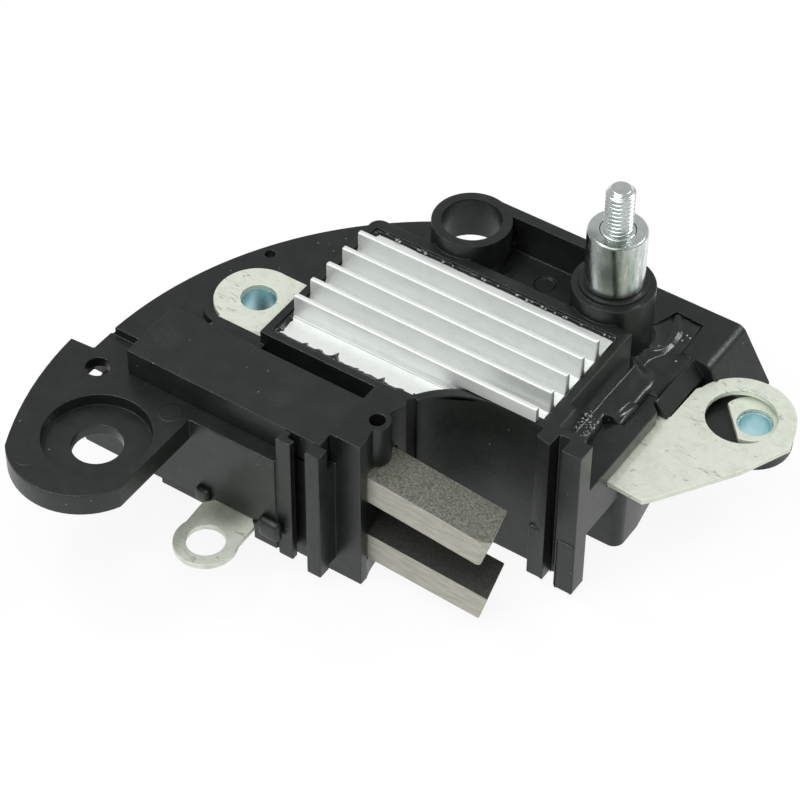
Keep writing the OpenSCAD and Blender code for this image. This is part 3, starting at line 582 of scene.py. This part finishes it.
def threaded_stud():
    """M5 stud: plain head and shank, and a rolled thread with a real helix above the spacer."""
    foot, top = low("stud").z, high("stud").z
    centre = (low("stud") + high("stud")) / 2
    crest, root, pitch, start = 2.4, 1.88, 0.8, top - 8.9
    shank, head, flush = 2.9, 4.6, top - 8.6
    head_top, chamfer, tip_height, tip_radius = foot + 3.0, 0.2, 0.75, 1.2
    sides, steps = 64, 128
    outline = [
        (foot, head - chamfer), (foot + chamfer, head), (head_top - chamfer, head),
        (head_top, head - chamfer), (head_top, shank), (flush - 0.08, shank),
        (flush, shank - 0.08), (flush, root + 0.05),
    ]
    rows = [[(0.0, foot)] * sides] + [[(r, z)] * sides for z, r in outline]
    for i in range(steps + 1):
        z = start + (top - start) * i / steps
        row = []
        for k in range(sides):
            phase = ((z - start) / pitch - k / sides) % 1.0
            rise = smooth((abs(2.0 * phase - 1.0) - 0.12) / 0.72)
            r = root + (crest - root) * rise * smooth((z - start) / 0.5)
            if z > top - tip_height:
                r = min(r, crest - 0.1 - (z - top + tip_height) * 0.95)
            row.append((r, z))
        rows.append(row)
    rows.append([(tip_radius, top)] * sides)
    rows.append([(0.0, top - 0.05)] * sides)
    turns = [2 * math.pi * k / sides for k in range(sides)]
    points = [
        [
            (centre.x + r * math.cos(turn), centre.y + r * math.sin(turn), z)
            for turn, (r, z) in zip(turns, row)
        ]
        for row in rows
    ]
    mesh = sheet_mesh("threaded_stud", points, closed=True)
    shade(mesh, 50)
    obj = new_object("threaded_stud", mesh, BODY_OF["stud"], SLOTS["stud"])
    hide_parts("stud")


# ---------------------------------------------------------------- sealant

BEAD_STEP = 0.22
BEAD_POINTS = 7
BEAD_OVERLAP = 0.3  # how far the bead reaches into the frame's wall
BEAD_RISE = 0.45  # from the plate up the frame's wall
PLATE_LIFT = 2.5  # from the CAD bead's foot to the heat sink's plate
CRUMBS = 46


def bead(name, path, inward, foot_z, wall_z, width, jag, seed, body, slot):
    """Mound of sealant along a straight edge, from the frame's wall on to the plate."""
    start, end = Vector(path[0]), Vector(path[1])
    length = (end - start).length
    steps = int(length / BEAD_STEP)
    last = BEAD_POINTS - 1
    rows = []
    for i in range(steps + 1):
        s = length * i / steps
        base = start.lerp(end, i / steps)
        lobes = max(0.0, wander(s * 0.4, seed) - 0.1)
        lobes += max(0.0, wander(s * 1.1, seed + 9.0) - 0.25) * 0.8
        reach = width * (0.75 + jag * lobes) + 0.03 * jag * wander(s * 3.0, seed + 4.0)
        lift = 0.18 + 0.1 * wander(s * 0.9, seed + 20.0)
        row = []
        for k in range(BEAD_POINTS):
            t = k / last
            out = -BEAD_OVERLAP + (reach + BEAD_OVERLAP) * t
            z = wall_z * (1 - smooth(t * 1.15)) + foot_z * smooth(t * 1.15)
            z += lift * math.sin(math.pi * min(1.0, t * 1.05)) * 1.2
            if k == last:
                z = foot_z - 0.05
            row.append((base.x + inward[0] * out, base.y + inward[1] * out, z))
        rows.append(row)
    mesh = sheet_mesh(name, rows)
    shade(mesh, 60)
    return new_object(name, mesh, body, slot)


def sealant():
    """Jagged bead on the front and left, an even glossy one on the back, and loose crumbs, pale as
    painted highlights.
    """
    lo, hi = low("heat_sink"), high("heat_sink")
    plate_z = low("sealant_bead").z + PLATE_LIFT
    front_end_x, right_start_y = -12.0, 16.5
    body, slot = BODY_OF["sealant_bead"], SLOTS["sealant_bead"]
    edges = (
        ("front_bead", ((lo.x - 0.3, lo.y), (front_end_x, lo.y)), (0, 1), 0.5, 3.0, 3.1),
        ("left_bead", ((lo.x, lo.y - 0.3), (lo.x, hi.y)), (1, 0), 0.45, 1.6, 7.7),
        ("back_bead", ((lo.x, hi.y), (hi.x + 0.2, hi.y)), (0, -1), 0.25, 0.7, 13.3),
        ("right_bead", ((hi.x, right_start_y), (hi.x, hi.y)), (-1, 0), 0.2, 0.5, 17.9),
    )
    for name, path, inward, width, jag, seed in edges:
        bead(name, path, inward, plate_z, plate_z + BEAD_RISE, width, jag, seed, body, slot)
    random.seed(11)
    places = [
        (
            random.uniform(lo.x, hi.x),
            hi.y + random.uniform(-0.2, 0.35),
            plate_z + 0.35,
            random.uniform(0.14, 0.3),
        )
        for _ in range(CRUMBS)
    ]
    # The crumbs' pale colour is a painted highlight
    droplets("bead_crumbs", places, body, slot, material=PAINTED_HIGHLIGHT_SKIN)


# ---------------------------------------------------------------- potting resin

FRAME_SIDE_X = high("sealant_bead").x + 1.5
COLLAR_X, COLLAR_Y, COLLAR_RADIUS = 1.3, 45.6, 7.0
RESIN_LEVEL = -4.6
RESIN_UNDER_DECK = -5.2
RESIN_STEP = 0.11
FRAME_CLIMB, FRAME_CLIMB_REACH = 3.9, 4.4
FRAME_CLIMB_END_Y, FRAME_CLIMB_FADE = 43.5, 4.0
FRAME_BACK_Y = 46.0
POCKET_FRONT_Y = 20.5

# Outline of the pocket on the deck, and the two folds where the resin set while it ran
POCKET = (
    (8.45, POCKET_FRONT_Y), (10.9, POCKET_FRONT_Y), (10.9, 24.3), (10.6, 28.2), (11.5, 29.1),
    (13.4, 29.6), (13.4, 38.0), (15.05, 38.0), (15.05, 49.0), (12.9, 49.3), (12.6, 56.8),
    (7.4, 57.2), (5.6, 52.0), (8.45, 46.0),
)
POCKET_RIGHT_WALL = POCKET[1:11]
# (path, height, half width) of each fold
RESIN_FOLDS = (
    (((7.9, 56.6), (9.8, 53.2), (10.1, 50.3), (9.7, 47.9), (8.3, 45.0), (8.3, 41.0)), 0.55, 0.95),
    (((12.6, 34.3), (12.2, 31.4), (11.6, 28.6)), 0.52, 0.9),
)
# Bubbles: a cluster at the front, with its ranges of x and y, and a few single ones at the back
BUBBLES = 60
BUBBLE_X, BUBBLE_Y = (8.7, 10.7), (20.8, 26.8)
BUBBLE_RADII = (0.1, 0.14, 0.18, 0.24)
LARGE_BUBBLE_RADIUS = 0.22
LARGE_BUBBLES = (
    (10.4, 53.5), (11.3, 52.2), (11.4, 53.6), (12.2, 53.2), (12.9, 47.4), (9.0, 48.4),
)


def in_pocket(x, y):
    """Whether a point lies inside the pocket's outline."""
    inside = False
    for (ax, ay), (bx, by) in zip(POCKET, POCKET[1:] + POCKET[:1]):
        if (ay > y) != (by > y) and x < ax + (bx - ax) * (y - ay) / (by - ay):
            inside = not inside
    return inside


def climb(rise, away, reach):
    """How far the resin creeps up at a distance from a wall."""
    return rise * math.exp(-max(0.0, away) / reach)


def resin_height(x, y):
    """Height of the potting resin, which creeps up the frame, the walls and the collar."""
    along_frame = smooth(1.0 - (x - FRAME_SIDE_X) / FRAME_CLIMB_REACH) * smooth(
        (FRAME_CLIMB_END_Y - y) / FRAME_CLIMB_FADE
    )
    from_collar = math.hypot(x - COLLAR_X, y - COLLAR_Y) - COLLAR_RADIUS
    z = RESIN_LEVEL + FRAME_CLIMB * along_frame
    z += climb(1.5, from_collar, 0.8)
    z += climb(0.45, distance_to_path(x, y, POCKET_RIGHT_WALL), 0.5)
    z += climb(0.35, y - POCKET_FRONT_Y, 0.7)
    z += 0.1 * wander(x * 0.35, y * 0.3)
    for path, height, half_width in RESIN_FOLDS:
        z += height * min(0.85, max(0.0, 1.0 - distance_to_path(x, y, path) / half_width))
    under_frame = x < FRAME_SIDE_X and y < FRAME_BACK_Y
    under_collar = from_collar < 0.0
    if not (under_frame or under_collar or in_pocket(x, y)):
        z = min(z, RESIN_UNDER_DECK)
    return z


def resin():
    """Wavy top of the potting resin, with its front and back sides down to the CAD slab's foot."""
    lo, hi = low("potting_resin"), high("potting_resin")
    columns = int((hi.x - lo.x) / RESIN_STEP) + 1
    lines = int((hi.y - lo.y) / RESIN_STEP) + 1
    rows = []
    for j in range(lines):
        y = lo.y + (hi.y - lo.y) * j / (lines - 1)
        row = []
        for i in range(columns):
            x = lo.x + (hi.x - lo.x) * i / (columns - 1)
            row.append((x, y, min(hi.z, resin_height(x, y))))
        rows.append(row)
    front_foot = [(x, y, lo.z) for x, y, _ in rows[0]]
    back_foot = [(x, y, lo.z) for x, y, _ in rows[-1]]
    mesh = sheet_mesh("potting", [front_foot] + rows + [back_foot])
    shade(mesh, 60)
    obj = new_object("potting", mesh, BODY_OF["potting_resin"], SLOTS["potting_resin"])
    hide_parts("potting_resin")


def resin_bubbles():
    random.seed(5)
    places = []
    for _ in range(BUBBLES):
        x, y = random.uniform(*BUBBLE_X), random.uniform(*BUBBLE_Y)
        places.append((x, y, resin_height(x, y), random.choice(BUBBLE_RADII)))
    for x, y in LARGE_BUBBLES:
        places.append((x, y, resin_height(x, y), LARGE_BUBBLE_RADIUS))
    body, slot = BODY_OF["potting_resin"], SLOTS["potting_resin"]
    # The bubbles' pale colour is a painted highlight
    droplets("resin_bubbles", places, body, slot, material=PAINTED_HIGHLIGHT_SKIN)


# ---------------------------------------------------------------- lugs of the housing


def rounded_block(name, low_corner, high_corner, radius, body, slot):
    """Moulded lug with rounded edges and a slight draught towards its front face."""
    draught = 0.12
    bm = bmesh.new()
    bmesh.ops.create_cube(bm, size=1.0)
    a, b = Vector(low_corner), Vector(high_corner)
    middle = (a + b) / 2
    for vert in bm.verts:
        point = Vector([middle[i] + vert.co[i] * (b[i] - a[i]) for i in range(3)])
        if vert.co.y < 0:
            point.x += (middle.x - point.x) * draught
            point.z += (middle.z - point.z) * draught
        vert.co = point * MM
    bevel(bm, bm.edges[:], radius, 4, clamp_overlap=True)
    return new_object(name, shaded_mesh(bm, name, 40), body, slot)


# ---------------------------------------------------------------- pieces

# The wedge at the right has one edge with a larger radius
WEDGE_EDGE = ((17.6, 48.5, -4.3), (18.8, 61.0, -3.9), 1.1)
# (name, low corner, high corner, radius) of the small lugs beside the small ring's neck
NECK_LUGS = (
    ("left_neck_lug", (-41.0, -12.6, -16.8), (-38.3, -11.35, -13.9), 0.5),
    ("right_neck_lug", (-28.4, -12.9, -17.3), (-24.2, -11.35, -13.2), 0.6),
)

for node_name, obj in NODES.items():
    dress(obj, MATERIALS[SLOTS[node_name]])

softened("housing", "housing_shell", 0.22, wide=(WEDGE_EDGE,))
softened("brush_cover", "cover_shell", 0.25)
softened("heat_sink", "fin_plate", 0.26, segments=3)
softened("upper_brush", "upper_carbon", 0.25)
softened("lower_brush", "lower_carbon", 0.25)
softened("left_ring_terminal", "left_ring_sheet", 0.12)
softened("small_ring_terminal", "small_ring_sheet", 0.12)
softened("output_terminal", "output_sheet", 0.12)
softened("sense_lug", "sense_lug_sheet", 0.12)
softened("spacer", "spacer_tube", 0.12)
softened("left_bush", "left_bush_tube", 0.12)
softened("sense_bush", "sense_bush_tube", 0.08)
threaded_stud()
sealant()
resin()
resin_bubbles()
for name, low_corner, high_corner, radius in NECK_LUGS:
    rounded_block(name, low_corner, high_corner, radius, BODY_OF["housing"], SLOTS["housing"])

# ---------------------------------------------------------------- stage, in metres

WHITE = (1.0, 1.0, 1.0, 1.0)
PAPER = (0.93, 0.93, 0.93, 1.0)
FLOOR_REACH = 3.0
FLOOR_GLOW = 0.9  # how much of the floor that the camera and reflections see is plain white
ROOM_STRENGTH = 0.49
BACKGROUND_STRENGTH = 1.0
# (name, place, size, watts); every lamp looks at the origin
LAMPS = (
    ("key", (-0.05, -0.5, 0.85), 0.8, 5.8),
    ("spark", (-0.35, 0.0, 0.8), 0.12, 1.2),
    ("rim", (0.38, 0.53, 0.62), 0.22, 2.2),
)
# Camera solved from the photograph's vanishing directions
CAMERA_RIGHT = Vector((0.82997, 0.55778, 0.00572))
CAMERA_UP = Vector((-0.40053, 0.58878, 0.70208))
CAMERA_BACK = Vector((0.38823, -0.58500, 0.71208))
CAMERA_PLACE = (0.163628, -0.261124, 0.331116)
CAMERA_LENS, CAMERA_SENSOR = 131.76, 36.0  # millimetres


def build_floor():
    mesh = bpy.data.meshes.new("floor")
    reach, floor_z = FLOOR_REACH, CAD_BOX[0][2]
    corners = [(-reach, -reach), (reach, -reach), (reach, reach), (-reach, reach)]
    mesh.from_pydata([(x, y, floor_z) for x, y in corners], [], [(0, 1, 2, 3)])
    floor = bpy.data.objects.new("floor", mesh)
    bpy.context.scene.collection.objects.link(floor)
    m = Nodes("floor")
    path = m.add("ShaderNodeLightPath")
    seen = m.math("MAXIMUM", path.outputs["Is Camera Ray"], path.outputs["Is Glossy Ray"])
    seen = m.math("MAXIMUM", seen, path.outputs["Is Transmission Ray"])
    paper = m.add("ShaderNodeBsdfDiffuse", {"Color": PAPER})
    white = m.add("ShaderNodeEmission", {"Color": WHITE, "Strength": 1.0})
    mixed = m.add(
        "ShaderNodeMixShader",
        {0: m.times(seen, FLOOR_GLOW), 1: paper.outputs[0], 2: white.outputs[0]},
    )
    m.tree.links.new(mixed.outputs[0], m.output.inputs["Surface"])
    floor.data.materials.append(m.material)


def build_world():
    world = bpy.data.worlds.new("studio")
    bpy.context.scene.world = world
    world.use_nodes = True
    tree = world.node_tree
    tree.nodes.clear()
    output = tree.nodes.new("ShaderNodeOutputWorld")
    path = tree.nodes.new("ShaderNodeLightPath")
    mixed = tree.nodes.new("ShaderNodeMixShader")
    tree.links.new(path.outputs["Is Camera Ray"], mixed.inputs[0])
    for socket, strength in ((1, ROOM_STRENGTH), (2, BACKGROUND_STRENGTH)):
        background = tree.nodes.new("ShaderNodeBackground")
        background.inputs["Color"].default_value = WHITE
        background.inputs["Strength"].default_value = strength
        tree.links.new(background.outputs[0], mixed.inputs[socket])
    tree.links.new(mixed.outputs[0], output.inputs["Surface"])


def build_lamps():
    for name, place, size, power in LAMPS:
        data = bpy.data.lights.new(name, "AREA")
        data.shape = "SQUARE"
        data.size = size
        data.energy = power
        lamp = bpy.data.objects.new(name, data)
        lamp.location = place
        lamp.rotation_euler = (-Vector(place)).to_track_quat("-Z", "Y").to_euler()
        bpy.context.scene.collection.objects.link(lamp)


def build_camera():
    data = bpy.data.cameras.new("camera")
    data.lens = CAMERA_LENS
    data.sensor_width = CAMERA_SENSOR
    camera = bpy.data.objects.new("camera", data)
    turn = Matrix((CAMERA_RIGHT, CAMERA_UP, CAMERA_BACK)).transposed()
    camera.matrix_world = Matrix.Translation(CAMERA_PLACE) @ turn.to_4x4()
    bpy.context.scene.collection.objects.link(camera)
    bpy.context.scene.camera = camera


build_floor()
build_world()
build_lamps()
build_camera()
bpy.context.scene.view_settings.view_transform = "Standard"
